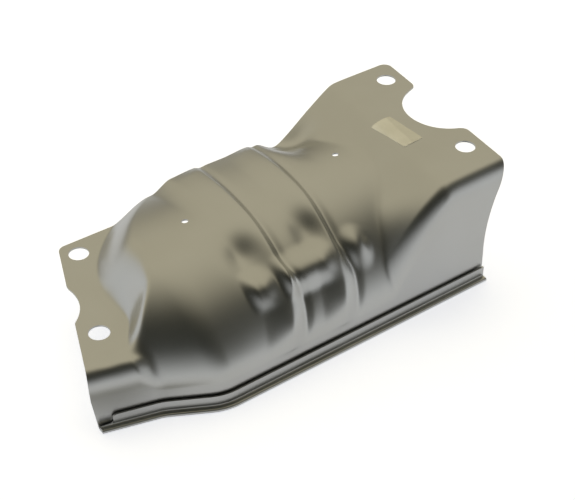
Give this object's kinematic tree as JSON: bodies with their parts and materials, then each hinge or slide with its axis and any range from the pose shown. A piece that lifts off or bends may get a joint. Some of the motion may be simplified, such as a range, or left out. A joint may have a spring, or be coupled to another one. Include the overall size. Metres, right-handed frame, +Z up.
{
  "type": "heat shield",
  "caption": "Pressed sheet-steel heat shield with a ribbed dome, two bolt flanges, trimmed notches, a deep skirt and a folded hem.",
  "frame": {"origin": "middle of the plan box, on the underside of the folded hem", "axes": "+X along the straight rear trim edge towards the high flange, +Y from the skirt to the rear trim edge, +Z up, out of the bolt flanges' upper faces"},
  "size_m": [0.2115, 0.1036, 0.0574],
  "materials": {
    "steel_sheet": "satin",
    "label_paper": "matte"
  },
  "bodies": {
    "root": {"shield": "steel_sheet", "paper_label": "label_paper"}
  },
  "joints": []
}
